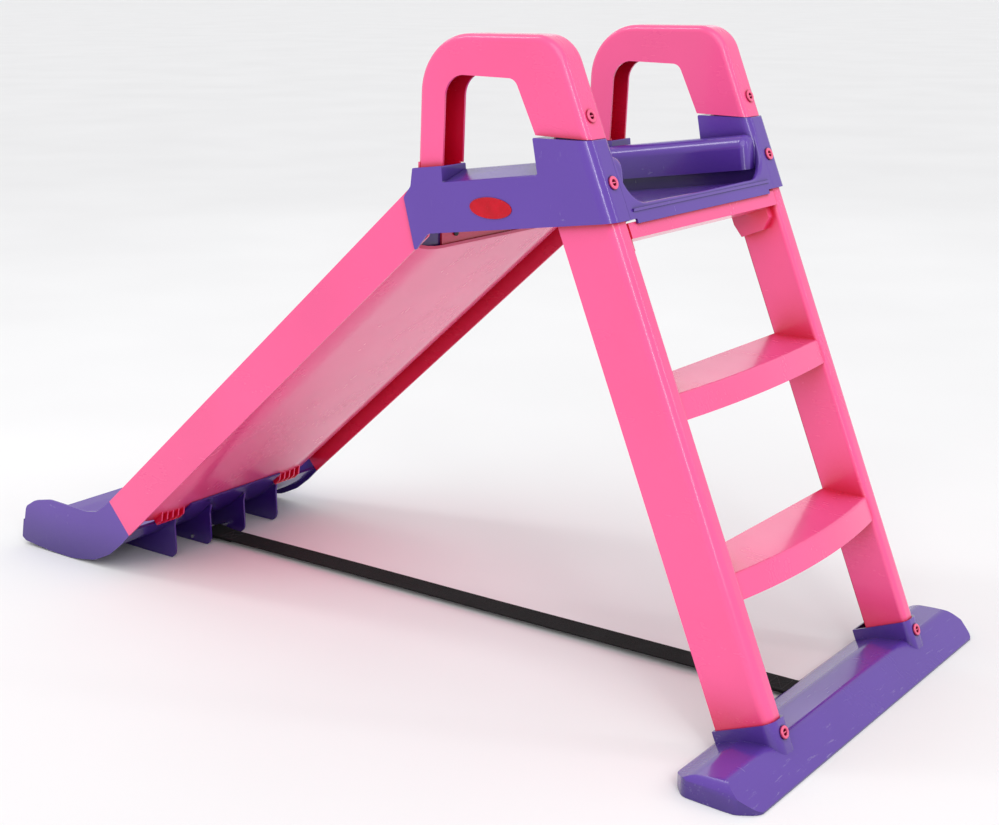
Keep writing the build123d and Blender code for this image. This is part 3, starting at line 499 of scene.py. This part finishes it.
HALF_W = 0.0218
cols = [-1.0, -0.985, -0.95, -0.90, -0.6, -0.3, 0.0, 0.3, 0.6, 0.90, 0.95, 0.985, 1.0]
vs, fs = [], []
nP = len(path)
nC = len(cols)
for side_ in (1, -1):
    for i, p in enumerate(path):
        q0, q1 = path[max(0, i - 1)], path[min(nP - 1, i + 1)]
        t = (q1 - q0).normalized()
        n_ = Vector((-t.z, 0.0, t.x))
        for c in cols:
            edge = abs(c)
            th = TH / 2 * (1.16 if 0.88 < edge < 0.97 else 1.0) * (0.45 if edge > 0.99 else 1.0)
            edge_wave = 0.00022 * math.sin(i * 1.9) if edge > 0.97 else 0.0
            vs.append(p + n_ * (th * side_) + Vector((0, c * HALF_W + math.copysign(edge_wave, c), 0)))


def vid(side_, i, j):
    return (0 if side_ > 0 else nP * nC) + i * nC + j


for i in range(nP - 1):
    for j in range(nC - 1):
        fs.append((vid(1, i, j), vid(1, i + 1, j), vid(1, i + 1, j + 1), vid(1, i, j + 1)))
        fs.append((vid(-1, i, j), vid(-1, i, j + 1), vid(-1, i + 1, j + 1), vid(-1, i + 1, j)))
    for j in (0, nC - 1):
        fs.append((vid(1, i, j), vid(-1, i, j), vid(-1, i + 1, j), vid(1, i + 1, j)))
for i in (0, nP - 1):
    for j in range(nC - 1):
        fs.append((vid(1, i, j), vid(1, i, j + 1), vid(-1, i, j + 1), vid(-1, i, j)))
strap = add_object("strap_piece", vs, fs, mat_web, "root")
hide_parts("tie_strap")


# stitching: box pattern of thread over each doubled end
def stitches(base, direction, name):
    parts = []
    def stitch(p, q, off):
        d = (q - p)
        ln = d.length
        count = max(2, int(ln / 0.0034))
        for k in range(count):
            a = p + d * ((k + 0.12) / count)
            b = p + d * ((k + 0.88) / count)
            m = (a + b) / 2
            dirn = (b - a).normalized()
            sidev = dirn.cross(nrm_s).normalized()
            ring_pts = []
            for s_, h_ in ((0.0, 0.15), (0.25, 0.8), (0.5, 1.0), (0.75, 0.8), (1.0, 0.15)):
                c = a + (b - a) * s_ + nrm_s * (off + 0.00030 * h_ * (1 if off > 0 else -1))
                ring = []
                for e in range(6):
                    an = 2 * math.pi * e / 6
                    ring.append(c + sidev * (0.00030 * math.cos(an)) + nrm_s * (0.00030 * math.sin(an)))
                ring_pts.append(ring)
            vv = [pt for r_ in ring_pts for pt in r_]
            ff = []
            for r_ in range(4):
                for e in range(6):
                    f_ = (e + 1) % 6
                    ff.append((r_ * 6 + e, r_ * 6 + f_, (r_ + 1) * 6 + f_, (r_ + 1) * 6 + e))
            ff.append((5, 4, 3, 2, 1, 0))
            ff.append(tuple(24 + e for e in range(6)))
            parts.append((vv, ff))
    for off in (TH / 2 + 0.0001, -(TH * 1.5 + 0.0002)):
        y = 0.017
        p1, p2 = at(base, 0.042, direction, 0), at(base, 0.066, direction, 0)
        c = [p1 + Vector((0, -y, 0)), p1 + Vector((0, y, 0)), p2 + Vector((0, y, 0)), p2 + Vector((0, -y, 0))]
        for a, b in ((0, 1), (1, 2), (2, 3), (3, 0), (0, 2), (1, 3)):
            stitch(c[a], c[b], off)
    v_, f_ = joined(parts)
    o = add_object(name, v_, f_, mat_thread, "root")
    o.data.polygons.foreach_set("use_smooth", [True] * len(o.data.polygons))
    return o


m_t, nt_t, p_t = new_material("thread_black")
co_t = mapped(nt_t)
nt_t.links.new(ramp(nt_t, noise(nt_t, co_t, 900.0, 2.0), [(0.3, (0.016, 0.016, 0.018)), (0.7, (0.05, 0.05, 0.055))]), p_t.inputs["Base Color"])
nt_t.links.new(bump(nt_t, noise(nt_t, co_t, 3000.0, 2.0), 0.3, 0.0002), p_t.inputs["Normal"])
p_t.inputs["Roughness"].default_value = 0.6
mat_thread = m_t
stitches(A, -1.0, "strap_stitches_front")
stitches(B, 1.0, "strap_stitches_rear")

# ------------------------------------------------------------ floor, lights
bm = bmesh.new()
bmesh.ops.create_grid(bm, x_segments=4, y_segments=4, size=160.0)
me = bpy.data.meshes.new("floor")
bm.to_mesh(me)
bm.free()
floor = bpy.data.objects.new("floor", me)
floor.location = (0, 0, -0.0006)
scene.collection.objects.link(floor)
mf, ntf, pf = new_material("floor_pale")
cf = mapped(ntf)
ntf.links.new(ramp(ntf, noise(ntf, cf, 1.3, 2.0), [(0.3, (0.85, 0.85, 0.85)), (0.7, (0.88, 0.88, 0.88))]), pf.inputs["Base Color"])
pf.inputs["Roughness"].default_value = 0.75
pf.inputs["Specular IOR Level"].default_value = 0.05
me.materials.append(mf)

world = bpy.data.worlds.new("studio")
world.use_nodes = True
bg = world.node_tree.nodes["Background"]
bg.inputs[0].default_value = (0.985, 0.985, 1.0, 1.0)
bg.inputs[1].default_value = 0.77
scene.world = world


def area(name, loc, target, size, power, col=(1, 1, 1)):
    d = bpy.data.lights.new(name, "AREA")
    d.shape = "RECTANGLE"
    d.size, d.size_y = size
    d.energy = power
    d.color = col
    o = bpy.data.objects.new(name, d)
    o.location = loc
    o.rotation_mode = "QUATERNION"
    o.rotation_quaternion = (Vector(target) - Vector(loc)).to_track_quat("-Z", "Y")
    o.visible_camera = False
    scene.collection.objects.link(o)


sun_d = bpy.data.lights.new("sky_sun", "SUN")
sun_d.energy = 1.0
sun_d.angle = math.radians(55.0)
sun = bpy.data.objects.new("sky_sun", sun_d)
sun.rotation_mode = "QUATERNION"
sun.rotation_quaternion = Vector((0.45, -0.62, -0.80)).to_track_quat("-Z", "Y")
scene.collection.objects.link(sun)
area("key", (-2.7, 2.05, 1.45), (-0.4, 0.1, 0.45), (0.28, 1.7), 15.0)
area("rear_fill", (-2.9, -1.0, 1.9), (-0.3, 0.0, 0.4), (0.2, 1.6), 7.0)
area("top", (1.25, 0.85, 2.9), (-0.3, 0.1, 0.8), (0.30, 1.3), 11.0)
area("front", (2.6, -0.4, 2.6), (0.1, 0.0, 0.3), (1.0, 0.5), 3.0)
area("backdrop", (2.2, -3.7, 2.0), (-0.4, 0.0, 0.4), (3.2, 0.6), 5.0)

scene.view_settings.view_transform = "Standard"
scene.view_settings.look = "None"
scene.view_settings.exposure = 0.0
